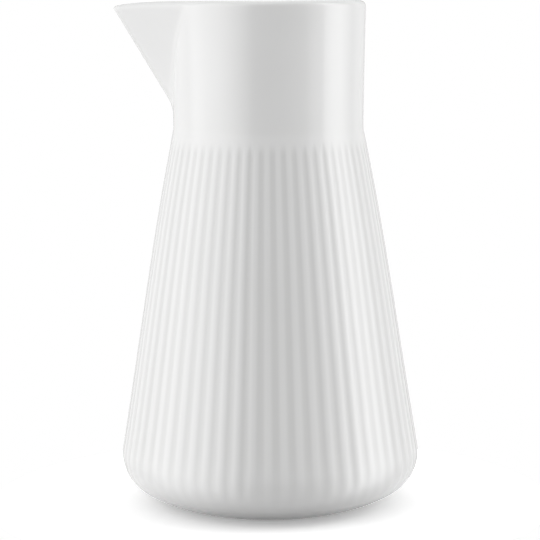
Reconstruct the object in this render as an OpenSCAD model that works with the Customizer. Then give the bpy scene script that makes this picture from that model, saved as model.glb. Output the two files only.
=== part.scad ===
// Hot milk jug: a fluted porcelain body with a V-shaped spout, and a drop-in lid with a small knob.
// The origin is the centre of the foot, on the surface that the jug stands on. The spout points to -X.

/* [Overall] */
// Height of the rim above the surface that the jug stands on
rim_h = 160; // [150:1:175]

/* [Neck] */
// Outer radius of the neck just under its rounded rim
rim_r = 30.9; // [30:0.1:33]
// Outer radius of the neck where the body's side begins
neck_r = 30.1; // [30:0.1:32]
// Height of the neck, from the body's side up to the rim
neck_h = 40.2; // [32:0.1:60]
// Radius of the bore inside the neck
bore_r = 27.2; // [26:0.1:28]

/* [Body] */
// Largest radius of the body
belly_r = 47.6; // [44:0.1:54]
// Height of the largest radius
belly_h = 16; // [14.5:0.1:20]
// Radius of the rounded edge round the base
edge_r = 13; // [10:0.1:14]
// Radius of the flatter curve under the base
under_r = 44.5; // [40:0.5:48]
// Angle at which the underside leaves the ground, in degrees
under_rise = 13.5; // [10:0.5:18]
// How far the body's side swells past a straight line
side_swell = 0.6; // [0:0.05:1]
// Thickness of the body's wall
body_wall = 3.4; // [2.8:0.1:4.5]
// Width of the ring that the jug stands on
foot_w = 3.2; // [2:0.1:5]
// Depth of the recess inside that ring
foot_recess = 1.6; // [0.8:0.1:2.5]

/* [Flutes] */
// Number of flutes round the body
flute_n = 60; // [40:2:72]
// Depth of a flute at the largest radius
flute_d = 0.5; // [0.2:0.05:1]
// Distance from the neck down to the top of the flutes
flute_drop = 2; // [0.5:0.1:5]
// Length over which a flute runs out at its top
flute_fade = 5; // [2:0.1:10]

/* [Spout] */
// Distance from the jug's axis to the tip of the spout
spout_reach = 48.7; // [44:0.1:54]
// Lean of the spout's keel from upright, in degrees
spout_lean = 30.8; // [27:0.1:35]
// Angle between the spout's axis and each flank, seen from above, in degrees
spout_half_angle = 33.4; // [31:0.1:35]
// Outer radius of the rounded keel
keel_r = 5.2; // [4.5:0.1:7]

/* [Lid seat] */
// Depth of the lid's ledge below the rim
seat_depth = 18; // [17.5:0.1:22]
// How far the ledge stands out from the bore
seat_w = 2.6; // [2:0.1:4]
// Thickness of the ledge at its inner edge
seat_t = 2.2; // [1.5:0.1:3]

/* [Lid] */
// Gap between the lid's disc and the bore
lid_gap = 0.9; // [0.5:0.1:1.5]
// Thickness of the lid's disc
lid_t = 4; // [3:0.1:5]
// Radius of the rounding round the disc's upper edge
lid_round = 1.4; // [0.5:0.1:2]
// Height of the spigot under the disc
spigot_h = 5; // [4.2:0.1:7]
// Wall of the spigot
spigot_wall = 2.8; // [2:0.1:4]
// Height of the bead that keeps the silicone ring on the spigot
bead_h = 1; // [0.6:0.1:2]
// How far the bead stands out from the spigot
bead_w = 0.7; // [0.3:0.1:1]

/* [Silicone ring] */
// Gap between the ring and the porcelain round it
ring_gap = 0.3; // [0.2:0.05:0.5]
// Gap between the ring and the ledge under it
ring_rest = 0.2; // [0.1:0.05:0.3]
// Thickness of the ring where it lies under the disc
ring_t = 1.2; // [0.8:0.1:1.6]

/* [Knob] */
// Largest radius of the knob
knob_r = 9; // [7:0.1:11]
// Radius of the knob's foot
knob_foot_r = 6.4; // [5:0.1:7]
// Height of the knob
knob_h = 10; // [8.5:0.1:10.5]
// Thickness of the silicone gasket under the knob
gasket_t = 0.5; // [0.3:0.1:1]
// Outer radius of the threaded insert
insert_r = 3; // [2.6:0.1:3.6]
// Length of the threaded insert
insert_l = 7.5; // [6:0.1:8]
// Cement round the threaded insert
cement_t = 0.1; // [0.05:0.05:0.2]

/* [Screw] */
// Radius of the screw's thread
screw_r = 2; // [1.5:0.1:2.4]
// Radius of the screw's head
head_r = 3.8; // [3:0.1:4.5]
// Height of the screw's head
head_h = 2.4; // [2:0.1:3]
// Distance across the flats of the hexagon socket in the head
socket_af = 2.5; // [1.5:0.1:3]
// Depth of the hexagon socket
socket_d = 1.4; // [1:0.1:1.8]
// Outer radius of the washer
washer_r = 4.8; // [4:0.1:6]
// Thickness of the washer
washer_t = 0.8; // [0.5:0.1:1.2]
// Gap round the screw in the disc, the gasket and the washer
screw_gap = 0.25; // [0.1:0.05:0.5]
// Gap between the screw and the insert's thread
thread_gap = 0.05; // [0.03:0.01:0.1]
// How far the screw reaches into the insert
screw_grip = 6; // [4:0.1:7]

/* [Hidden] */
$fn = 96;
porcelain = [0.94, 0.94, 0.93];
silicone = [0.80, 0.81, 0.80];
brass = [0.80, 0.66, 0.36];
steel = [0.72, 0.73, 0.74];
// One overrun for every cut, and one overlap where two forms of a piece run into each other
cut = 1;
lap = 1.5;

// Heights
lip_r = (rim_r - bore_r) / 2;
lip_h = rim_h - lip_r;
break_h = rim_h - neck_h;
seat_h = rim_h - seat_depth;
disc_h = seat_h + ring_rest + ring_t;
gasket_h = disc_h + lid_t;
knob_foot_h = gasket_h + gasket_t;
washer_h = disc_h - washer_t;

// The body's outline: a straight side, a rounded edge that touches it, and a flatter curve that
// touches the edge and ends on the ground
function turned(a) = [cos(a), sin(a)];
edge_c = [belly_r - edge_r, belly_h];
side_top = [neck_r, break_h];
side_run = edge_c - side_top;
side_a = atan2(side_run[1], side_run[0]) + 180 - acos(edge_r / norm(side_run));
side_low = edge_c + edge_r * turned(side_a);
side_len = norm(side_low - side_top);
foot_a = 90 - under_rise;
edge_turn = asin((under_r * sin(foot_a) - belly_h) / (under_r - edge_r));
under_c = edge_c - (under_r - edge_r) * turned(-edge_turn);
foot_r = under_c[0] + under_r * cos(foot_a);

// Rows of the fluted skin: [radius, height, outward angle, share of a flute's depth]
fade_shares = [0, 0.12, 0.35, 0.65, 1];
side_shares = [0.25, 0.5, 0.75];
edge_steps = 7;
under_steps = 3;
turn_steps = edge_steps + under_steps;
// A swell that is greatest a third of the way down and has died away where the edge begins
function swell(u) = side_swell * 27 / 4 * u * (1 - u) * (1 - u);
function eased(t) = t * t * (3 - 2 * t);
function side_row(s, w) =
  concat(side_top + s / side_len * (side_low - side_top) + swell(s / side_len) * turned(side_a), [side_a, w]);
flute_full = flute_drop + flute_fade;
side_rows = concat(
  [side_row(-lap, 0)],
  [for (t = fade_shares) side_row(flute_drop + t * flute_fade, eased(t))],
  [for (t = side_shares) side_row(flute_full + t * (side_len - flute_full), 1)]);
edge_rows = [for (i = [0 : edge_steps - 1]) let (a = side_a - i / edge_steps * (side_a + edge_turn))
  concat(edge_c + edge_r * turned(a), [a, eased(1 - i / turn_steps)])];
under_rows = [for (i = [0 : under_steps]) let (a = -edge_turn - i / under_steps * (foot_a - edge_turn))
  concat(under_c + under_r * turned(a), [a, eased(1 - (edge_steps + i) / turn_steps)])];
skin_rows = concat(side_rows, edge_rows, under_rows);

// Three columns to a flute: the ridge beside it, and two in its hollow
flute_cols = 3;
cols = flute_n * flute_cols;
function hollow_share(k) = let (x = 2 * (k % flute_cols) / flute_cols - 1) 1 - x * x;
function skin_point(row, k) = let (
    d = flute_d * row[0] / belly_r * row[3] * hollow_share(k),
    r = row[0] - d * cos(row[2]),
    a = 360 * k / cols)
  [r * cos(a), r * sin(a), row[1] - d * sin(row[2])];

module fluted_skin() {
  last = len(skin_rows) - 1;
  points = [for (row = skin_rows) for (k = [0 : cols - 1]) skin_point(row, k)];
  top_face = [for (k = [cols - 1 : -1 : 0]) k];
  bottom_face = [for (k = [0 : cols - 1]) last * cols + k];
  side_faces = [for (j = [0 : last - 1]) for (k = [0 : cols - 1])
    let (a = j * cols + k, b = j * cols + (k + 1) % cols)
      each [[a, b, b + cols], [a, b + cols, a + cols]]];
  polyhedron(points, concat([top_face, bottom_face], side_faces));
}

module neck_outside() {
  low = break_h - flute_full;
  rotate_extrude() polygon([[0, low], [neck_r, low], [neck_r, break_h], [rim_r, lip_h], [0, lip_h]]);
}

// The inside: a rounded floor, a wall of even thickness, the bore, and the ledge that carries the lid
inner_r = edge_r - body_wall;
inner_low = edge_c + inner_r * turned(side_a);
inner_steps = 8;
module inside() {
  floor_arc = [for (i = [0 : inner_steps]) edge_c + inner_r * turned(-90 + i / inner_steps * (90 + side_a))];
  ledge_r = bore_r - seat_w;
  rotate_extrude() polygon(concat([[0, edge_c[1] - inner_r]], floor_arc, [
    [bore_r, inner_low[1] + (inner_low[0] - bore_r) / tan(side_a)],
    [bore_r, seat_h - seat_t - seat_w],
    [ledge_r, seat_h - seat_t],
    [ledge_r, seat_h],
    [bore_r, seat_h],
    [bore_r, rim_h + cut],
    [0, rim_h + cut]]));
}

module foot_hollow() {
  r = foot_r - foot_w;
  rotate_extrude() polygon([[0, -cut], [r, -cut], [r, 0], [r - foot_recess, foot_recess], [0, foot_recess]]);
}

// The spout is a V with a rounded keel. Square to the leaning keel its flanks open wider than in plan.
flank_a = atan(tan(spout_half_angle) / cos(spout_lean));
spout_wall = 2 * lip_r * sin(flank_a) * cos(spout_lean) / sin(spout_half_angle);
// How far back towards the axis the V runs, as a share of the bore
spout_root_share = 0.55;
module spout_section(inset) {
  r = keel_r - inset;
  touch = [r * sin(flank_a) - keel_r, r * cos(flank_a)];
  back = [touch[0] - spout_reach, touch[1] + spout_reach * tan(flank_a)];
  translate([-keel_r, 0]) circle(r);
  polygon([touch, back, [back[0], -back[1]], [touch[0], -touch[1]]]);
}
module spout_form(inset, top) {
  low = break_h - flute_full;
  intersection() {
    translate([-spout_reach, 0, lip_h]) rotate([0, -spout_lean, 0]) rotate([0, 0, 180])
      translate([0, 0, -rim_h]) linear_extrude(2 * rim_h) spout_section(inset);
    translate([-2 * spout_reach, -spout_reach, low])
      cube([2 * spout_reach - spout_root_share * bore_r, 2 * spout_reach, top - low]);
  }
}

// The rounded rim: half a round bar that follows the middle of the wall round the neck and the spout
lip_mid = rim_r - lip_r;
keel_mid = keel_r - spout_wall / 2;
keel_c = keel_r / cos(spout_lean) - spout_reach;
// Where the flanks' middle lines would meet, and where each crosses the middle of the neck's wall
flank_tip = spout_reach + (keel_r / sin(flank_a) - keel_r) / cos(spout_lean) - lip_r / sin(spout_half_angle);
join_a = asin(flank_tip * sin(spout_half_angle) / lip_mid) - spout_half_angle;
neck_steps = 72;
keel_steps = 8;
rim_path = concat(
  [for (i = [0 : neck_steps]) lip_mid * turned((180 - join_a) * (2 * i / neck_steps - 1))],
  [for (i = [0 : keel_steps]) let (a = 90 + flank_a + 2 * i / keel_steps * (90 - flank_a))
    [keel_c + keel_mid / cos(spout_lean) * cos(a), keel_mid * sin(a)]]);
rim_n = len(rim_path);

// The bar is a hair narrower than the wall, and its foot stands a hair inside it
lip_inset = 0.05;
lip_steps = 8;
bar_w = lip_r - lip_inset;
bar = concat([[bar_w, -2 * lip_inset]],
  [for (i = [0 : lip_steps]) let (p = turned(180 * i / lip_steps)) [bar_w * p[0], lip_r * p[1]]],
  [[-bar_w, -2 * lip_inset]]);
bar_n = len(bar);

function outward(from, to) = let (d = (to - from) / norm(to - from)) [d[1], -d[0]];
// Direction and stretch of the mitred section at a corner of the path
function mitre(i) = let (
    a = outward(rim_path[(i + rim_n - 1) % rim_n], rim_path[i]),
    b = outward(rim_path[i], rim_path[(i + 1) % rim_n]))
  (a + b) / (1 + a * b);

module rim_lip() {
  points = [for (i = [0 : rim_n - 1]) let (m = mitre(i)) for (p = bar)
    concat(rim_path[i] + p[0] * m, [lip_h + p[1]])];
  polyhedron(points, [for (i = [0 : rim_n - 1]) for (k = [0 : bar_n - 1])
    let (j = (i + 1) % rim_n, l = (k + 1) % bar_n)
      [i * bar_n + k, i * bar_n + l, j * bar_n + l, j * bar_n + k]]);
}

module jug_body() {
  color(porcelain) union() {
    difference() {
      union() {
        fluted_skin();
        neck_outside();
        spout_form(0, lip_h);
      }
      inside();
      foot_hollow();
      spout_form(spout_wall, lip_h + cut);
    }
    rim_lip();
  }
}

// The lid
disc_r = bore_r - lid_gap;
spigot_r = bore_r - seat_w - ring_gap - ring_t;
arc_steps = 6;
function arc(c, r, a, b) = [for (i = [0 : arc_steps]) c + r * turned(a + i / arc_steps * (b - a))];

module lid_plate() {
  color(porcelain) difference() {
    translate([0, 0, disc_h]) rotate_extrude() polygon(concat(
      [[0, 0], [spigot_r - spigot_wall, 0], [spigot_r - spigot_wall, -spigot_h],
       [spigot_r + bead_w, -spigot_h], [spigot_r + bead_w, bead_h - spigot_h],
       [spigot_r, bead_h - spigot_h], [spigot_r, 0], [disc_r, 0]],
      arc([disc_r - lid_round, lid_t - lid_round], lid_round, 0, 90),
      [[0, lid_t]]));
    translate([0, 0, disc_h - cut]) cylinder(r = screw_r + screw_gap, h = lid_t + 2 * cut);
  }
}

// The ring lies under the disc, and its collar fills the groove between the disc and the bead
module lid_ring() {
  color(silicone) translate([0, 0, disc_h]) rotate_extrude() polygon([
    [spigot_r, bead_h - spigot_h], [spigot_r + ring_t, bead_h - spigot_h], [spigot_r + ring_t, -ring_t],
    [bore_r - ring_gap, -ring_t], [bore_r - ring_gap, 0], [spigot_r, 0]]);
}

// The knob: a foot, a hollow waist and a rounded cap
waist_r = knob_r - knob_foot_r;
cap_r = (knob_h - waist_r) / 3;
module lid_knob() {
  color(porcelain) translate([0, 0, knob_foot_h]) difference() {
    rotate_extrude() polygon(concat(
      [[0, 0], [knob_foot_r, 0]],
      arc([knob_foot_r + waist_r - cap_r, waist_r + cap_r / 2], waist_r - cap_r / 2, -180, -270),
      arc([knob_r - cap_r, knob_h - cap_r], cap_r, -90, 90),
      [[0, knob_h]]));
    translate([0, 0, -cut]) cylinder(r = insert_r + cement_t, h = insert_l + cement_t + cut);
  }
}

module knob_insert() {
  color(brass) translate([0, 0, knob_foot_h]) difference() {
    cylinder(r = insert_r, h = insert_l);
    translate([0, 0, -cut]) cylinder(r = screw_r + thread_gap, h = screw_grip + thread_gap + cut);
  }
}

module pierced_disc(r, hole_r, h) {
  difference() {
    cylinder(r = r, h = h);
    translate([0, 0, -cut]) cylinder(r = hole_r, h = h + 2 * cut);
  }
}

module knob_gasket() {
  color(silicone) translate([0, 0, gasket_h]) pierced_disc(knob_foot_r, screw_r + screw_gap, gasket_t);
}

module screw_washer() {
  color(steel) translate([0, 0, washer_h]) pierced_disc(washer_r, screw_r + screw_gap, washer_t);
}

module knob_screw() {
  socket_r = socket_af / 2 / cos(30);
  color(steel) translate([0, 0, washer_h]) difference() {
    union() {
      cylinder(r = screw_r, h = knob_foot_h - washer_h + screw_grip);
      rotate_extrude() polygon(concat([[0, 0], [head_r, 0]],
        arc([head_r - head_h / 2, -head_h / 2], head_h / 2, 0, -90), [[0, -head_h]]));
    }
    translate([0, 0, -head_h - cut]) cylinder(r = socket_r, h = socket_d + cut, $fn = 6);
  }
}

jug_body();
lid_plate();
lid_ring();
lid_knob();
knob_insert();
knob_gasket();
screw_washer();
knob_screw();
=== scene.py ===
import math

import bmesh
import bpy
import numpy as np
from mathutils import Matrix, Vector


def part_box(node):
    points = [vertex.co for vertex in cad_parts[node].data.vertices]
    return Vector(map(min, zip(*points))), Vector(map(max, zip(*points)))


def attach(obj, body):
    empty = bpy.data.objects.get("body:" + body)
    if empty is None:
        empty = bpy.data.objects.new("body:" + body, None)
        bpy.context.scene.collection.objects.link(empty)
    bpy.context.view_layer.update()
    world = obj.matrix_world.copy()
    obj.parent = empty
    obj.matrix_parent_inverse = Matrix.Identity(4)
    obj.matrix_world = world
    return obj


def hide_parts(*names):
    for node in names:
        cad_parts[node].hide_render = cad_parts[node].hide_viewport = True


# A porcelain milk jug with a spout and a drop-in lid. Each piece below replaces one of the CAD nodes
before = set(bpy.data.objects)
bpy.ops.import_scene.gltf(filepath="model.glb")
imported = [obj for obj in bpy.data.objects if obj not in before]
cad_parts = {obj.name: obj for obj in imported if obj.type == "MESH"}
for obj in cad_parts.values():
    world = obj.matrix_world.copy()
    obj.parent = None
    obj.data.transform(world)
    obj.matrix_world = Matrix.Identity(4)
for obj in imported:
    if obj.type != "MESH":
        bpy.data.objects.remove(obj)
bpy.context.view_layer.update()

# The shapes below are worked out in millimetres and written to the meshes in metres
MM = 0.001
FULL_TURN = 2 * math.pi


def node_box(node):
    """The lowest and highest corner of a CAD node's box, in millimetres."""
    low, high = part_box(node)
    return np.array(low) / MM, np.array(high) / MM


jug_low, jug_high = node_box("jug_body")
plate_low, plate_high = node_box("lid_plate")
ring_low, ring_high = node_box("lid_ring")
knob_low, knob_high = node_box("lid_knob")
insert_low, insert_high = node_box("knob_insert")
gasket_low, gasket_high = node_box("knob_gasket")
washer_low, washer_high = node_box("screw_washer")
screw_low, screw_high = node_box("knob_screw")

# The jug's sizes, in millimetres and degrees
RIM_H = jug_high[2]
SPOUT_REACH = -jug_low[0]
BELLY_R = jug_high[0]
RIM_R = 30.9
NECK_R = 30.1
NECK_H = 40.2
BORE_R = 27.2
BELLY_H = 16.0
EDGE_R = 13.0
UNDER_R = 44.5
UNDER_RISE = 13.5
SIDE_SWELL = 0.6
BODY_WALL = 3.4
FOOT_W = 3.2
FOOT_RECESS = 1.6
SPOUT_LEAN = math.radians(30.8)
SPOUT_HALF = math.radians(33.4)
KEEL_R = 5.2
SEAT_DEPTH = 18.0
SEAT_W = 2.6
SEAT_T = 2.2

# How strongly the neck's outline curves towards the rim, where 1 is a straight line
NECK_CURVE = 1.5
# Length of the soft break between the neck and the side, on either side of it
BREAK_RUN = 1.2

# The flutes: their number and depth, how far below the break a hollow starts in its middle, how much
# lower it starts at its sides, and the length over which it grows to its full depth
FLUTES = 60
FLUTE_D = 0.14
FLUTE_DROP = 2.0
SPOON_LEAD = 1.5
FLUTE_FADE = 5.0

# Radius of the concave run where the spout grows out of the neck, and the limits of the share of it that
# a slope takes
FILLET_R = 12.0
FILLET_LEAST = 0.1
FILLET_MOST = 0.45
# Share of the flank's radius that is lost in each radian past its nearest point to the axis
BEHIND_FADE = 0.5

# How far the wall's edge falls towards the tip of the spout, how much flatter the lip is there, and the
# depth over which the wall follows it
RIM_FALL = 0.25
TIP_THIN = 0.9
FALL_DEPTH = 15.0

# Inside, depths below the lip of the rows in the channel, the depth over which the lip's edge runs into
# the wall, how far below the break the channel may reach, and half the length of the soft knee
CHANNEL_DEPTHS = (0.7, 1.5, 2.4, 3.4, 4.6, 6, 7.5, 9, 11, 13)
LIP_BLEND = 5
CHANNEL_END = 5
KNEE_RUN = 3

# Columns of points across one flute, and rows of points along each stretch of the jug's skin
FLUTE_COLUMNS = 12
LIP_ROWS = 17
NECK_ROWS = 40
BREAK_ROWS = 6
START_ROWS = 20
SIDE_ROWS = 26
EDGE_ROWS = 27
UNDER_ROWS = 13
BORE_ROWS = 12
CONE_ROWS = 14
CORNER_ROWS = 15

# Heights and angles that follow from the sizes
LIP_R = (RIM_R - BORE_R) / 2
LIP_H = RIM_H - LIP_R
BREAK_H = RIM_H - NECK_H
SEAT_H = RIM_H - SEAT_DEPTH
FLANK = math.atan(math.tan(SPOUT_HALF) / math.cos(SPOUT_LEAN))
SPOUT_WALL = 2 * LIP_R * math.sin(FLANK) * math.cos(SPOUT_LEAN) / math.sin(SPOUT_HALF)


def turned(angle):
    """The unit vector in a direction."""
    return np.array([math.cos(angle), math.sin(angle)])


def eased(t):
    """A share from 0 to 1 that starts and ends softly."""
    t = np.clip(t, 0, 1)
    return t * t * (3 - 2 * t)


# The body's outline, as radius and height: a straight side, a rounded edge and a flatter curve
edge_c = np.array([BELLY_R - EDGE_R, BELLY_H])
side_top = np.array([NECK_R, BREAK_H])
side_run = edge_c - side_top
side_a = math.atan2(side_run[1], side_run[0]) + math.pi - math.acos(EDGE_R / np.linalg.norm(side_run))
side_low = edge_c + EDGE_R * turned(side_a)
side_len = np.linalg.norm(side_low - side_top)
side_dir = (side_low - side_top) / side_len
foot_a = math.radians(90 - UNDER_RISE)
edge_turn = math.asin((UNDER_R * math.sin(foot_a) - BELLY_H) / (UNDER_R - EDGE_R))
under_c = edge_c - (UNDER_R - EDGE_R) * turned(-edge_turn)
foot_r = under_c[0] + UNDER_R * math.cos(foot_a)

columns = FLUTES * FLUTE_COLUMNS
azimuth = np.arange(columns) * 2 * math.pi / columns
# The flutes are a soft wave, whose depth is 0 on a ridge and 1 in a hollow
flute_depth = (1 - np.cos(FLUTES * azimuth)) / 2


def from_spout(az):
    """Angle between a direction and the spout's, which is -X."""
    return np.abs(az % FULL_TURN - math.pi)


def spout_radius(z, phi, inset):
    """Distance from the axis to the spout's wall at height z, in the direction phi from the spout.

    At one height the spout is an ellipse with half axes a and b about a point c from the axis, the keel,
    with a flat flank on each side that meets it without a corner. Their planes cross at the tip."""
    a = (KEEL_R - inset) / math.cos(SPOUT_LEAN)
    b = KEEL_R - inset
    c = SPOUT_REACH - (LIP_H - z) * math.tan(SPOUT_LEAN) - KEEL_R / math.cos(SPOUT_LEAN)
    touch_x = c + a * math.sin(FLANK)
    touch_y = b * math.cos(FLANK)
    tip = touch_x + touch_y / math.tan(SPOUT_HALF)
    square_a = (np.cos(phi) / a) ** 2 + (np.sin(phi) / b) ** 2
    square_b = -2 * c * np.cos(phi) / a ** 2
    square_c = (c / a) ** 2 - 1
    inner = np.maximum(square_b ** 2 - 4 * square_a * square_c, 0)
    keel = (np.sqrt(inner) - square_b) / (2 * square_a)
    nearest = math.pi / 2 - SPOUT_HALF
    behind = 1 - BEHIND_FADE * np.maximum(phi - nearest, 0)
    flank = tip * math.sin(SPOUT_HALF) / np.sin(np.minimum(phi, nearest) + SPOUT_HALF) * behind
    return np.where(phi < np.arctan2(touch_y, touch_x), keel, flank), tip


def joined(wall, z, phi, inset):
    """The larger of a round wall's radius and the spout's, run together with a fillet."""
    spout, tip = spout_radius(z, phi, inset)
    slope = (math.tan(SPOUT_LEAN) * spout / np.maximum(tip, 1)) ** 2
    k = FILLET_R / 2 * np.clip(slope, FILLET_LEAST, FILLET_MOST)
    run = np.maximum(k - np.abs(wall - spout), 0)
    return np.maximum(wall, spout) + run ** 2 / (4 * k)


def ring_of(radius, az, z):
    """A row of points round the axis, with one radius and height for all or for each column."""
    radius = np.broadcast_to(radius, az.shape)
    return np.stack([radius * np.cos(az), radius * np.sin(az), np.broadcast_to(z, az.shape)], 1)


def neck_radius(z):
    """The neck's radius, which grows towards the rim in a slight curve."""
    share = np.clip(z - BREAK_H, 0, None) / (LIP_H - BREAK_H)
    return NECK_R + (RIM_R - NECK_R) * share ** NECK_CURVE


# How near each column of the rim comes to the spout's tip, and the fall and height of the lip there
phi_out = from_spout(azimuth)
rim_reach = joined(RIM_R, LIP_H, phi_out, 0)
towards_tip = np.clip((rim_reach - RIM_R - LIP_R) / (SPOUT_REACH - RIM_R - LIP_R), 0, None) ** 2
fall = RIM_FALL * towards_tip
lip_rise = LIP_R - TIP_THIN * towards_tip


def joined_at(height):
    """The outside of the neck and the spout, where each column has a height of its own."""
    return joined(neck_radius(height), height, phi_out, 0)


def lip_rows():
    """The full-round lip, from the outer wall over to the inner wall."""
    start = ring_of(joined_at(LIP_H - fall), azimuth, LIP_H - fall)
    along = np.roll(start, -1, 0) - np.roll(start, 1, 0)
    normal = np.stack([along[:, 1], -along[:, 0]], 1)
    normal /= np.linalg.norm(normal, axis=1)[:, None]
    middle = start[:, :2] - LIP_R * normal
    rows = []
    for t in np.linspace(0, math.pi, LIP_ROWS):
        flat = middle + LIP_R * math.cos(t) * normal
        rows.append(np.column_stack([flat, start[:, 2] + lip_rise * math.sin(t)]))
    return rows


def neck_rows():
    """The neck with the spout, from the lip down to the break."""
    rows = []
    for z in np.linspace(LIP_H, BREAK_H + BREAK_RUN, NECK_ROWS)[:-1]:
        height = z - fall * np.clip(1 - (LIP_H - z) / FALL_DEPTH, 0, 1)
        rows.append(ring_of(joined_at(height), azimuth, height))
    return rows


def side_point(s):
    """The point on the side's outline at a length s below the break. 27 / 4 brings the swell's top to 1."""
    u = s / side_len
    swell = SIDE_SWELL * 27 / 4 * u * (1 - u) ** 2
    return side_top + s * side_dir + swell * turned(side_a)


def fluted_row(point, angle, share):
    """A row of the body's skin, drawn in along the outline's normal by the flutes' depth there."""
    depth = FLUTE_D * point[0] / BELLY_R * share * flute_depth
    radius = point[0] - depth * math.cos(angle)
    height = point[1] - depth * math.sin(angle)
    return radius, height


def body_rows():
    """The body's skin: the break, the fluted side, the rounded edge and the curve down to the foot."""
    rows = []
    above = np.array([neck_radius(BREAK_H + BREAK_RUN), BREAK_H + BREAK_RUN])
    below = side_point(BREAK_RUN)
    for t in np.linspace(0, 1, BREAK_ROWS):
        point = (1 - t) ** 2 * above + 2 * t * (1 - t) * side_top + t * t * below
        rows.append(ring_of(joined(point[0], point[1], phi_out, 0), azimuth, point[1]))
    fade_end = FLUTE_DROP + SPOON_LEAD + FLUTE_FADE
    starts = np.linspace(BREAK_RUN, fade_end, START_ROWS)[1:]
    side = np.linspace(fade_end, side_len, SIDE_ROWS)[1:]
    for s in np.concatenate([starts, side]):
        share = eased((s - FLUTE_DROP - SPOON_LEAD * (1 - flute_depth)) / FLUTE_FADE)
        radius, height = fluted_row(side_point(s), side_a, share)
        if s < fade_end:
            radius = joined(radius, height, phi_out, 0)
        rows.append(ring_of(radius, azimuth, height))
    for t in np.linspace(0, 1, EDGE_ROWS)[1:]:
        angle = side_a - t * (side_a + edge_turn)
        radius, height = fluted_row(edge_c + EDGE_R * turned(angle), angle, eased(1 - t))
        rows.append(ring_of(radius, azimuth, height))
    for t in np.linspace(0, 1, UNDER_ROWS)[1:-1]:
        angle = -edge_turn - t * (foot_a - edge_turn)
        radius, height = under_c + UNDER_R * turned(angle)
        rows.append(ring_of(radius, azimuth, height))
    return rows


def foot_rows():
    """The foot ring, rounded on both sides, and the slightly domed recess inside it."""
    inner = foot_r - FOOT_W
    dome = FOOT_RECESS + 0.15
    outline = [
        (foot_r - 0.1, 0.05), (foot_r - 0.35, 0), (inner + 0.3, 0), (inner + 0.08, 0.08), (inner, 0.3),
        (inner - 0.3, 0.9), (inner - 0.9, 1.4), (inner - FOOT_RECESS, FOOT_RECESS),
        (20, FOOT_RECESS + 0.1), (12, dome), (5, dome), (1, dome),
    ]
    return [ring_of(r, azimuth, z) for r, z in outline]


def inner_outline():
    """The bore, the ledge, the cone and the rounded bottom, as height and radius, from the rim down."""
    ledge = BORE_R - SEAT_W
    low = SEAT_H - SEAT_T
    # The ledge, with its corners rounded by a point on either side, and the slope under it
    outline = [
        (LIP_H - FALL_DEPTH, BORE_R), (SEAT_H + 0.5, BORE_R), (SEAT_H + 0.15, BORE_R - 0.15),
        (SEAT_H, BORE_R - 0.5), (SEAT_H, ledge + 0.7), (SEAT_H - 0.12, ledge + 0.25),
        (SEAT_H - 0.45, ledge), (low + 0.2, ledge), (low - 0.15, ledge + 0.12),
        (low - SEAT_W + 0.3, BORE_R - 0.3), (low - SEAT_W - 0.3, BORE_R),
    ]
    inner_r = EDGE_R - BODY_WALL
    inner_low = edge_c + inner_r * turned(side_a)
    knee = inner_low[1] + (inner_low[0] - BORE_R) / math.tan(side_a)
    outline += [(z, BORE_R) for z in np.linspace(low - SEAT_W - 1.8, knee + KNEE_RUN, BORE_ROWS)]
    slope = (inner_low[0] - BORE_R) / (knee - inner_low[1])
    for t in (0.25, 0.5, 0.75, 1):
        outline.append((knee + KNEE_RUN - 2 * KNEE_RUN * t, BORE_R + KNEE_RUN * slope * t * t))
    for z in np.linspace(knee - KNEE_RUN, inner_low[1], CONE_ROWS)[1:]:
        outline.append((z, BORE_R + slope * (knee - z)))
    for t in np.linspace(0, 1, CORNER_ROWS)[1:]:
        point = edge_c + inner_r * turned(side_a - t * (side_a + math.pi / 2))
        outline.append((point[1], point[0]))
    outline += [(edge_c[1] - inner_r, r) for r in (28, 20, 12, 5, 1)]
    return outline


def inner_rows(top):
    """The inside, from the inner edge of the lip down to the middle of the floor."""
    az = np.arctan2(top[:, 1], top[:, 0])
    phi = from_spout(az)
    reach = np.linalg.norm(top[:, :2], axis=1)
    rows = []
    for depth in CHANNEL_DEPTHS:
        height = top[:, 2] - depth + fall * np.clip(depth / FALL_DEPTH, 0, 1)
        inside = joined(np.full(columns, BORE_R), height, phi, SPOUT_WALL)
        rows.append(ring_of(reach + (inside - reach) * eased(depth / LIP_BLEND), az, height))
    for z, radius in inner_outline():
        if z > BREAK_H - CHANNEL_END:
            radius = joined(np.full(columns, radius), z, phi, SPOUT_WALL)
        rows.append(ring_of(radius, az, z))
    return rows


def mesh_of(name, rows, capped):
    """A closed skin over rows of points. It ends in a fan at either end, or its last row meets its first."""
    count = len(rows[0])
    bm = bmesh.new()
    rings = [[bm.verts.new(Vector(p) * MM) for p in row] for row in rows]
    pairs = list(zip(rings, rings[1:]))
    if not capped:
        pairs.append((rings[-1], rings[0]))
    for upper, lower in pairs:
        for i in range(count):
            j = (i + 1) % count
            bm.faces.new((upper[i], upper[j], lower[j], lower[i]))
    if capped:
        for ring, row in ((rings[0], rows[0]), (rings[-1], rows[-1])):
            centre = bm.verts.new(Vector((0, 0, float(np.mean(row[:, 2])))) * MM)
            for i in range(count):
                bm.faces.new((ring[i], ring[(i + 1) % count], centre))
    return finished(name, bm)


# Points closer than this, in metres, are one point
WELD = 1e-7


def finished(name, bm):
    """A smooth-shaded object in the scene, made from a mesh that still has double points."""
    bmesh.ops.remove_doubles(bm, verts=bm.verts, dist=WELD)
    bmesh.ops.dissolve_degenerate(bm, edges=bm.edges, dist=WELD)
    bmesh.ops.recalc_face_normals(bm, faces=bm.faces)
    piece = placed(name, bm)
    piece.data.shade_smooth()
    return piece


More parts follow.
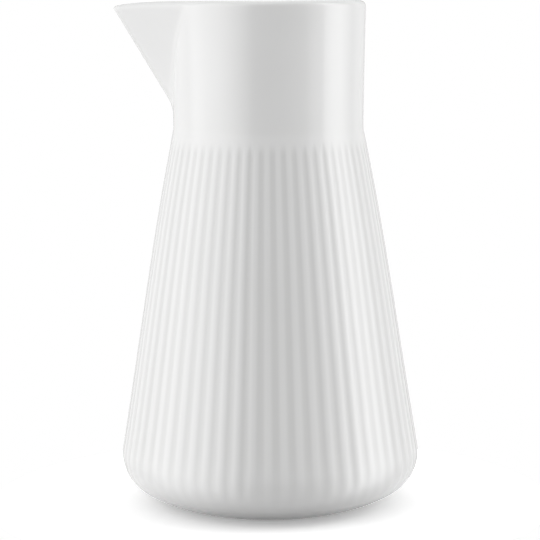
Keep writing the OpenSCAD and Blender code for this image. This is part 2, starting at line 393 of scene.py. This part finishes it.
def placed(name, bm):
    """An object in the scene, made from a mesh."""
    mesh = bpy.data.meshes.new(name)
    bm.to_mesh(mesh)
    bm.free()
    made = bpy.data.objects.new(name, mesh)
    bpy.context.scene.collection.objects.link(made)
    return made


def jug():
    lip = lip_rows()
    rows = lip[::-1] + neck_rows()[1:] + body_rows() + foot_rows()
    return mesh_of("jug_porcelain", inner_rows(lip[-1])[::-1] + rows, True)


def rounded(corners, steps):
    """An outline through (radius, height, rounding) corners, with each corner rounded in steps."""
    points = [np.array(c[:2], float) for c in corners]
    out = []
    for i, (point, corner) in enumerate(zip(points, corners)):
        r = corner[2]
        back = points[i - 1] - point
        ahead = points[(i + 1) % len(points)] - point
        back /= np.linalg.norm(back)
        ahead /= np.linalg.norm(ahead)
        half = math.acos(np.clip(np.dot(back, ahead), -1, 1)) / 2
        run = r / math.tan(half)
        centre = point + (back + ahead) / np.linalg.norm(back + ahead) * r / math.sin(half)
        first = point + back * run - centre
        last = point + ahead * run - centre
        a = math.atan2(first[1], first[0])
        turn = (math.atan2(last[1], last[0]) - a + math.pi) % FULL_TURN - math.pi
        out += [centre + r * turned(a + turn * t / steps) for t in range(steps + 1)]
    return out


def arc(centre, radius, first, last, count):
    """Points on an arc about a centre, between two angles in degrees."""
    angles = np.radians(np.linspace(first, last, count))
    return [tuple(np.array(centre) + radius * turned(a)) for a in angles]


def lathe(name, outline, count, radius_at=None, solid=False):
    """A piece turned from an outline that meets itself or, for a solid, starts and ends near the axis.

    radius_at may change a point's radius by direction."""
    az = np.arange(count) * 2 * math.pi / count
    rows = []
    for r, z in outline:
        radius = radius_at(r, z, az) if radius_at else r
        rows.append(ring_of(radius, az, z))
    return mesh_of(name, rows, solid)


# Sizes of the lid's parts that their boxes don't give, in millimetres
DISC_H = ring_high[2]
SPIGOT_WALL = 2.8
BEAD_H = 1.0
BEAD_W = 0.7
RING_T = 1.2
RING_GAP = 0.3
COLLAR_R = BORE_R - SEAT_W - RING_GAP
SPIGOT_R = COLLAR_R - RING_T
KNOB_FOOT_R = 6.4
KNOB_BROW = 82
INSERT_R = insert_high[0]
CEMENT_T = 0.1
KNURLS = 36
KNURL_D = 0.14
KNURL_TWIST = 3
SCREW_R = 2.0
SCREW_GAP = 0.25
SCREW_HOLE = SCREW_R + SCREW_GAP
HEAD_H = washer_low[2] - screw_low[2]
SOCKET_AF = 2.5
SOCKET_D = 1.4
THREAD_GAP = 0.05
THREAD_PITCH = 0.7
THREAD_D = 0.3
BORE_THREAD_D = 0.12
# Height of a thread's crest above the cut at its top, and how steep its flanks are
THREAD_TOP = 1.35
THREAD_FLANK = 3.4

# Columns of points round each part of the lid
DISC_COLUMNS = 192
KNOB_COLUMNS = 128
INSERT_COLUMNS = 144
SCREW_COLUMNS = 96


def lid_disc():
    """The disc with its spigot below, which ends in a small bead that holds the seal."""
    outer = plate_high[0]
    low = plate_low[2]
    top = plate_high[2]
    return lathe("lid_disc", rounded([
        (SCREW_HOLE, DISC_H, 0.15), (SPIGOT_R - SPIGOT_WALL, DISC_H, 0.8),
        (SPIGOT_R - SPIGOT_WALL, low, 0.5), (SPIGOT_R + BEAD_W, low, 0.35),
        (SPIGOT_R + BEAD_W, low + BEAD_H, 0.25), (SPIGOT_R, low + BEAD_H, 0.12),
        (SPIGOT_R, DISC_H, 0.12), (outer, DISC_H, 0.4), (outer, top, 1.4), (SCREW_HOLE, top, 0.2),
    ], 6), DISC_COLUMNS)


def seal():
    """The silicone ring: a flat rim under the disc and a collar round the spigot."""
    outer = ring_high[0]
    low = ring_low[2]
    return lathe("silicone_seal", rounded([
        (SPIGOT_R, low, 0.1), (COLLAR_R, low, 0.3), (COLLAR_R, DISC_H - RING_T, 0.2),
        (outer, DISC_H - RING_T, 0.35), (outer, DISC_H, 0.35), (SPIGOT_R, DISC_H, 0.1),
    ], 5), DISC_COLUMNS)


def knob():
    """The knob: a foot, a hollow waist, a rounded cap with a low crown, and the insert's hole below."""
    base, top, outer = knob_low[2], knob_high[2], knob_high[0]
    foot = KNOB_FOOT_R
    waist = outer - foot
    cap = (top - base - waist) / 3
    hole = INSERT_R + CEMENT_T
    roof = base + insert_high[2] - insert_low[2] + CEMENT_T
    outline = [(0.4, roof), (hole - 0.3, roof), (hole, roof - 0.3), (hole, base + 0.12)]
    outline += [(hole + 0.12, base), (foot - 0.25, base), (foot - 0.05, base + 0.1)]
    outline += arc((foot + waist - cap, base + waist + cap / 2), waist - cap / 2, -180, -268, 12)
    outline += arc((outer - cap, top - cap), cap, -88, KNOB_BROW, 18)
    brow = top - cap + cap * math.sin(math.radians(KNOB_BROW))
    outline += [(r, brow + (top - brow) * (1 - (r / (outer - cap)) ** 2)) for r in (6, 4.5, 3, 1.5, 0.4)]
    return lathe("knob_porcelain", outline, KNOB_COLUMNS, solid=True)


def helix(z, az):
    """Height of a screw thread at a place, from 0 in its root to 1 on its crest."""
    turn = (z / THREAD_PITCH - az / FULL_TURN) % 1
    return np.clip(THREAD_TOP - np.abs(turn - 0.5) * THREAD_FLANK, 0, 1)


def insert():
    """The insert, knurled outside and threaded inside, with a closed top."""
    low, high = insert_low[2], insert_high[2]
    bore = SCREW_R + THREAD_GAP
    bottom = screw_high[2] + THREAD_GAP

    def radius(r, z, az):
        if r == INSERT_R and low + 0.8 < z < high - 0.8:
            return r - KNURL_D * (0.5 + 0.5 * np.cos(KNURLS * az + FULL_TURN * (z - low) / KNURL_TWIST))
        if r == bore and low + 0.4 < z < bottom - 0.4:
            return r + BORE_THREAD_D * (1 - helix(z, az))
        return np.full_like(az, r)

    outline = [(0.3, high), (INSERT_R - 0.2, high), (INSERT_R, high - 0.2)]
    outline += [(INSERT_R, z) for z in np.linspace(low + 0.6, high - 0.6, 24)[::-1]]
    outline += [(INSERT_R, low + 0.2), (INSERT_R - 0.2, low), (bore + 0.25, low)]
    outline += [(bore, z) for z in np.linspace(bottom - 0.3, low + 0.3, 60)[::-1]]
    outline += [(bore, bottom - 0.2), (bore - 0.2, bottom), (0.3, bottom)]
    return lathe("insert_brass", outline, INSERT_COLUMNS, radius, solid=True)


def flat_ring(name, low, high, rounding):
    """A washer that fills a CAD box, with a hole for the screw."""
    return lathe(name, rounded([
        (SCREW_HOLE, low[2], rounding), (high[0], low[2], rounding),
        (high[0], high[2], rounding), (SCREW_HOLE, high[2], rounding),
    ], 4), SCREW_COLUMNS)


def screw():
    """A button-head screw with a hexagon socket and a cut thread."""
    top, seat, low = screw_high[2], washer_low[2], screw_low[2]
    head = -screw_low[0]

    def radius(r, z, az):
        if r < 0:
            # A negative radius is a share of the socket's, which has six flats
            across = (az + math.pi / 6) % (math.pi / 3) - math.pi / 6
            return -r * (SOCKET_AF / 2) / np.cos(across)
        if r == SCREW_R and seat + 1.2 < z < top - 0.5:
            return r - THREAD_D * (1 - helix(z, az))
        return np.full_like(az, r)

    floor = low + SOCKET_D
    edge = HEAD_H / 2
    outline = [(-0.2, floor + 0.15), (-0.97, floor), (-1, floor - 0.05), (-1, low + 0.06), (-1.05, low)]
    outline += arc((head - edge, seat - edge), edge, -90, 0, 12)
    outline += [(head, seat - 0.1), (head - 0.1, seat), (SCREW_R + 0.3, seat), (SCREW_R, seat + 0.3)]
    outline += [(SCREW_R, z) for z in np.linspace(seat + 0.8, top - 0.5, 110)]
    outline += [(SCREW_R - 0.35, top - 0.1), (SCREW_R - 0.5, top), (0.3, top)]
    return lathe("screw_steel_m4", outline, SCREW_COLUMNS, radius, solid=True)


class Graph:
    """A node tree, with short ways to add nodes and link them."""

    def __init__(self, tree, coordinates):
        self.tree = tree
        self.place = self.add("ShaderNodeTexCoord").outputs[coordinates]

    def add(self, kind, **values):
        node = self.tree.nodes.new(kind)
        for key, value in values.items():
            setattr(node, key, value)
        return node

    def link(self, out, into):
        self.tree.links.new(out, into)

    def split(self):
        """The three coordinates of the place, apart."""
        node = self.add("ShaderNodeSeparateXYZ")
        self.link(self.place, node.inputs["Vector"])
        return node.outputs

    def math(self, operation, *values):
        node = self.add("ShaderNodeMath", operation=operation)
        for socket, value in zip(node.inputs, values):
            if isinstance(value, (int, float)):
                socket.default_value = value
            else:
                self.link(value, socket)
        return node.outputs["Value"]

    def spread(self, value, low, high, to_low=0, to_high=1):
        """Where a value lies between two limits, eased and brought to two others."""
        node = self.add("ShaderNodeMapRange", interpolation_type="SMOOTHSTEP")
        self.link(value, node.inputs["Value"])
        limits = {"From Min": low, "From Max": high, "To Min": to_low, "To Max": to_high}
        for key, number in limits.items():
            node.inputs[key].default_value = number
        return node.outputs["Result"]

    def off_axis(self, x, y):
        """Distance from the jug's axis."""
        squares = self.math("ADD", self.math("MULTIPLY", x, x), self.math("MULTIPLY", y, y))
        return self.math("SQRT", squares)

    def blend(self, share, first, second):
        """Two shaders, mixed by a share of the second."""
        node = self.add("ShaderNodeMixShader")
        self.link(share, node.inputs["Fac"])
        self.link(first, node.inputs[1])
        self.link(second, node.inputs[2])
        return node.outputs["Shader"]


class Material(Graph):
    """A material's node tree, laid out in the object's own coordinates."""

    def __init__(self, name):
        self.material = bpy.data.materials.new(name)
        self.material.use_nodes = True
        super().__init__(self.material.node_tree, "Object")
        self.shader = self.tree.nodes["Principled BSDF"]

    def set(self, key, value):
        """Link an output to one of the shader's sockets, or set the socket to a number."""
        if isinstance(value, (int, float)):
            self.shader.inputs[key].default_value = value
        else:
            self.link(value, self.shader.inputs[key])

    def noise(self, scale, detail, stretch=None):
        """Soft noise with so many waves a metre, or stretched along each axis."""
        node = self.add("ShaderNodeTexNoise")
        node.inputs["Scale"].default_value = scale
        node.inputs["Detail"].default_value = detail
        place = self.place
        if stretch:
            mapping = self.add("ShaderNodeMapping")
            mapping.inputs["Scale"].default_value = stretch
            self.link(place, mapping.inputs["Vector"])
            place = mapping.outputs["Vector"]
        self.link(place, node.inputs["Vector"])
        return node.outputs["Fac"]

    def patches(self, scale, detail=2, to_low=0, to_high=1):
        """Noise spread out to patches between two values."""
        return self.spread(self.noise(scale, detail), *PATCH_SPAN, to_low, to_high)

    def mixed(self, share, first, second):
        """Two colours, each an output or a plain tuple, mixed by a share of the second."""
        node = self.add("ShaderNodeMix", data_type="RGBA")
        self.link(share, node.inputs["Factor"])
        for key, colour in (("A", first), ("B", second)):
            socket = [s for s in node.inputs if s.name == key and s.type == "RGBA"][0]
            if isinstance(colour, tuple):
                socket.default_value = (*colour, 1)
            else:
                self.link(colour, socket)
        return [s for s in node.outputs if s.type == "RGBA"][0]

    def bump(self, heights):
        """Bumps stacked on each other, from (height, strength, distance in metres) rows."""
        normal = None
        for height, strength, distance in heights:
            node = self.add("ShaderNodeBump")
            node.inputs["Strength"].default_value = strength
            node.inputs["Distance"].default_value = distance
            self.link(height, node.inputs["Height"])
            if normal:
                self.link(normal, node.inputs["Normal"])
            normal = node.outputs["Normal"]
        self.set("Normal", normal)


# The part of a noise's range that is spread out, in patches and in the softer clouds of the glaze
PATCH_SPAN = 0.3, 0.7
CLOUD_SPAN = 0.35, 0.65

# The glaze's two tones and its roughness, the tone of painted shade in the flutes' hollows, and the
# bare clay under the foot ring, which is rougher
GLAZE_TONES = (0.872, 0.872, 0.868), (0.885, 0.885, 0.882)
GLAZE_ROUGH = 0.07, 0.12
GLAZE_IOR = 1.5
HOLLOW_SHADE_TONE = (0.785, 0.785, 0.78)
CLAY_TONES = (0.74, 0.72, 0.68), (0.80, 0.785, 0.75)
CLAY_ROUGHER = 0.62
# Waves a metre in its clouds of tone, its gloss, its slow ripple and fine grain, and in the clay's grit
CLOUDS = 38
SHEEN = 160
RIPPLE = 120
GRAIN = 1400
GRIT = 2600
# Strength of the bumps, and their height in metres
RIPPLE_BUMP = 0.05, 0.0004
GRAIN_BUMP = 0.04, 0.00003
# Heights in metres between which the painted shade in the hollows starts above the foot, and the clay
# gives way to glaze
HOLLOW_SHADE_FROM = 0.004, 0.026
CLAY_UP_TO = 0.0001, 0.0005
# Width in millimetres over which the glaze inside the foot ring ends
CLAY_EDGE = 0.4


def glazed_porcelain(name, bare_foot):
    """Clear glaze over white porcelain. The jug's has painted shade in its flutes and ends at its foot ring.
    """
    n = Material(name)
    colour = n.mixed(n.spread(n.noise(CLOUDS, 2), *CLOUD_SPAN), *GLAZE_TONES)
    rough = n.patches(SHEEN, 2, *GLAZE_ROUGH)
    if bare_foot:
        x, y, z = n.split()
        # Painted shade: the colour darkens in the flutes' hollows, fading out near the foot and where the
        # flutes start
        wave = n.math("COSINE", n.math("MULTIPLY", n.math("ARCTAN2", y, x), FLUTES))
        hollow = n.spread(wave, -1, 1, 1, 0)
        starts = n.spread(z, (BREAK_H - FLUTE_DROP - FLUTE_FADE) * MM, (BREAK_H - FLUTE_DROP) * MM, 1, 0)
        hollow_shade = n.math("MULTIPLY", n.math("MULTIPLY", hollow, starts), n.spread(z, *HOLLOW_SHADE_FROM))
        colour = n.mixed(hollow_shade, colour, HOLLOW_SHADE_TONE)
        inner = foot_r - FOOT_W
        outside = n.spread(n.off_axis(x, y), (inner - CLAY_EDGE) * MM, inner * MM)
        bare = n.math("MULTIPLY", n.spread(z, *CLAY_UP_TO, 1, 0), outside)
        clay = n.mixed(n.patches(GRIT), *CLAY_TONES)
        colour = n.mixed(bare, colour, clay)
        rough = n.math("ADD", n.math("MULTIPLY", bare, CLAY_ROUGHER), rough)
    n.set("Base Color", colour)
    n.set("Roughness", rough)
    n.set("IOR", GLAZE_IOR)
    n.bump([(n.noise(RIPPLE, 2), *RIPPLE_BUMP), (n.noise(GRAIN, 3), *GRAIN_BUMP)])
    return n.material


# Silicone's tones and roughness, and how much light enters it and how deep, in metres
SILICONE_TONES = (0.76, 0.77, 0.765), (0.81, 0.815, 0.81)
SILICONE_ROUGH = 0.48, 0.6
SILICONE_IOR = 1.41
SCATTER = 0.25
SCATTER_DEPTH = 0.001


def silicone():
    """Matt white silicone that light enters a little."""
    n = Material("silicone_matt")
    n.set("Base Color", n.mixed(n.patches(90), *SILICONE_TONES))
    n.set("Roughness", n.patches(700, 2, *SILICONE_ROUGH))
    n.set("IOR", SILICONE_IOR)
    n.set("Subsurface Weight", SCATTER)
    n.set("Subsurface Scale", SCATTER_DEPTH)
    n.bump([(n.noise(1800, 3), 0.12, 0.00005)])
    return n.material


# Tones and roughness of the two metals
STEEL_TONES = (0.56, 0.57, 0.58), (0.66, 0.67, 0.68)
STEEL_ROUGH = 0.26
BRASS_TONES = (0.62, 0.47, 0.2), (0.74, 0.58, 0.28)
BRASS_ROUGH = 0.3


def turned_metal(name, dark, light, rough):
    """Metal with the fine rings that a lathe leaves, and a little wear in its colour."""
    n = Material(name)
    n.set("Base Color", n.mixed(n.patches(240, 3), dark, light))
    n.set("Roughness", n.patches(500, 3, rough - 0.06, rough + 0.08))
    n.set("Metallic", 1)
    n.bump([(n.noise(1, 2, stretch=(60, 60, 9000)), 0.12, 0.00004)])
    return n.material


# The camera, in metres: its distance from the jug's axis, its height, how far it stands to the side, its
# tilt and roll, its direction from the jug, and its lens in millimetres
CAMERA_D = 0.6615
CAMERA_H = 0.160
CAMERA_SIDE = 0.00025
CAMERA_TILT = math.radians(7.36)
CAMERA_ROLL = math.radians(-0.33)
CAMERA_AZ = math.radians(-89.2)
FOCAL = 139.0
SENSOR = 36


def add_camera():
    data = bpy.data.cameras.new("camera")
    data.lens = FOCAL
    data.sensor_width = SENSOR
    data.clip_start = 0.01
    camera = bpy.data.objects.new("camera", data)
    right = Vector((-math.sin(CAMERA_AZ), math.cos(CAMERA_AZ), 0))
    place = Vector((CAMERA_D * math.cos(CAMERA_AZ), CAMERA_D * math.sin(CAMERA_AZ), CAMERA_H))
    facing = Matrix.Rotation(CAMERA_AZ + math.pi / 2, 4, "Z")
    tilt = Matrix.Rotation(math.pi / 2 - CAMERA_TILT, 4, "X")
    roll = Matrix.Rotation(CAMERA_ROLL, 4, "Z")
    camera.matrix_world = Matrix.Translation(place + right * CAMERA_SIDE) @ (facing @ tilt) @ roll
    bpy.context.scene.collection.objects.link(camera)
    bpy.context.scene.camera = camera


# Light round the jug, as (degrees to the right of the camera, level): a softbox on either side, the right
# one narrow and bright with a crisp near edge, nothing where the camera stands, and a dim back
STUDIO = (
    (-180, 0.55), (-150, 0.75), (-128, 0.55), (-110, 0.3), (-96, 1.4), (-84, 1.55), (-72, 1.75),
    (-60, 2.15), (-46, 1.95), (-32, 1.3), (-22, 0.5), (-17, 0.0), (0, 0.0), (44, 0.0), (55, 1.1),
    (67, 1.25), (71, 2.75), (82, 3.5), (94, 2.85), (106, 1.15), (118, 0.05), (134, 0.45), (155, 0.6),
    (180, 0.55),
)
STUDIO_PEAK = 4.0
# The light overhead, and the share of the side light that comes from below
OVERHEAD = 0.8
UNDERNEATH = 0.5
# How far up and down a direction points, between level 0 and straight 1, where these two take over
OVERHEAD_FROM = 0.6, 0.95
UNDERNEATH_FROM = -0.9, -0.55
# Cosines from the camera's direction between which gloss shows the white backdrop behind the jug
BACKDROP = -0.9998, -0.996


def add_world():
    world = bpy.data.worlds.new("studio")
    bpy.context.scene.world = world
    world.use_nodes = True
    world.node_tree.nodes.clear()
    n = Graph(world.node_tree, "Generated")
    x, y, z = n.split()
    angle = n.math("SUBTRACT", n.math("ARCTAN2", y, x), CAMERA_AZ)
    # The ramp starts and ends behind the jug, half a turn from the camera
    share = n.math("FRACT", n.math("ADD", n.math("DIVIDE", angle, FULL_TURN), 1.5))
    ramp = n.add("ShaderNodeValToRGB")
    stops = ramp.color_ramp.elements
    stops.remove(stops[1])
    for i, (degrees, level) in enumerate(STUDIO):
        stop = stops.new((degrees + 180) / 360) if i else stops[0]
        stop.color = (level / STUDIO_PEAK,) * 3 + (1,)
    n.link(share, ramp.inputs["Fac"])
    around = n.math("MULTIPLY", ramp.outputs["Color"], STUDIO_PEAK)
    above = n.spread(z, *OVERHEAD_FROM)
    below = n.spread(z, *UNDERNEATH_FROM, UNDERNEATH, 1)
    side = n.math("MULTIPLY", n.math("MULTIPLY", around, n.math("SUBTRACT", 1, above)), below)
    light = n.add("ShaderNodeBackground")
    white = n.add("ShaderNodeBackground")
    for node in (light, white):
        node.inputs["Color"].default_value = (1, 1, 1, 1)
    n.link(n.math("ADD", side, n.math("MULTIPLY", above, OVERHEAD)), light.inputs["Strength"])
    path = n.add("ShaderNodeLightPath").outputs
    mirrored = n.math("MAXIMUM", path["Is Glossy Ray"], path["Is Transmission Ray"])
    backdrop = n.math("MULTIPLY", mirrored, n.spread(n.math("COSINE", angle), *BACKDROP, 1, 0))
    shows = n.math("MAXIMUM", path["Is Camera Ray"], backdrop)
    seen = n.blend(shows, light.outputs["Background"], white.outputs["Background"])
    n.link(seen, n.add("ShaderNodeOutputWorld").inputs["Surface"])


# The floor: its radius in metres, the tone that lights the jug from below, the glow that is added where it
# is seen, the glow that the camera sees on top of that at its edge, and the radii between which it fades
# away for all but the camera
FLOOR_R = 0.09
FLOOR_TONE = 0.37
FLOOR_GLOW = 0.3
EDGE_GLOW = 0.6
FLOOR_FADE = 0.035, 0.075


def add_floor():
    bm = bmesh.new()
    bmesh.ops.create_circle(bm, cap_ends=True, segments=96, radius=FLOOR_R)
    floor = placed("floor", bm)
    n = Material("floor_white")
    n.tree.nodes.remove(n.shader)
    plain = n.add("ShaderNodeBsdfDiffuse")
    plain.inputs["Color"].default_value = (FLOOR_TONE,) * 3 + (1,)
    lit = n.add("ShaderNodeBsdfDiffuse")
    lit.inputs["Color"].default_value = (1, 1, 1, 1)
    glow = n.add("ShaderNodeEmission")
    bright = n.add("ShaderNodeAddShader")
    n.link(lit.outputs[0], bright.inputs[0])
    n.link(glow.outputs[0], bright.inputs[1])
    x, y, z = n.split()
    reach = n.off_axis(x, y)
    path = n.add("ShaderNodeLightPath").outputs
    camera = path["Is Camera Ray"]
    at_edge = n.math("MULTIPLY", n.spread(reach, BELLY_R * MM, FLOOR_R, 0, EDGE_GLOW), camera)
    n.link(n.math("ADD", at_edge, FLOOR_GLOW), glow.inputs["Strength"])
    mirrored = n.math("MAXIMUM", path["Is Glossy Ray"], path["Is Transmission Ray"])
    seen = n.blend(n.math("MAXIMUM", camera, mirrored), plain.outputs[0], bright.outputs[0])
    faded = n.math("MULTIPLY", n.spread(reach, *FLOOR_FADE), n.math("SUBTRACT", 1, camera))
    clear = n.add("ShaderNodeBsdfTransparent")
    surface = n.blend(faded, seen, clear.outputs[0])
    n.link(surface, n.tree.nodes["Material Output"].inputs["Surface"])
    floor.data.materials.append(n.material)


def place_piece(piece, body, node, material):
    piece.data.materials.append(material)
    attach(piece, body)
    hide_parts(node)


add_camera()
add_world()
add_floor()
lid_glaze = glazed_porcelain("lid_glaze", False)
rubber = silicone()
steel = turned_metal("steel_turned", *STEEL_TONES, STEEL_ROUGH)
brass = turned_metal("brass_turned", *BRASS_TONES, BRASS_ROUGH)
place_piece(jug(), "jug", "jug_body", glazed_porcelain("jug_glaze", True))
place_piece(lid_disc(), "lid", "lid_plate", lid_glaze)
place_piece(seal(), "lid", "lid_ring", rubber)
place_piece(knob(), "lid", "lid_knob", lid_glaze)
place_piece(insert(), "lid", "knob_insert", brass)
gasket = flat_ring("gasket_silicone", gasket_low, gasket_high, 0.12)
place_piece(gasket, "lid", "knob_gasket", rubber)
washer = flat_ring("washer_steel", washer_low, washer_high, 0.1)
place_piece(washer, "lid", "screw_washer", steel)
place_piece(screw(), "lid", "knob_screw", steel)

bpy.context.scene.view_settings.view_transform = "Standard"
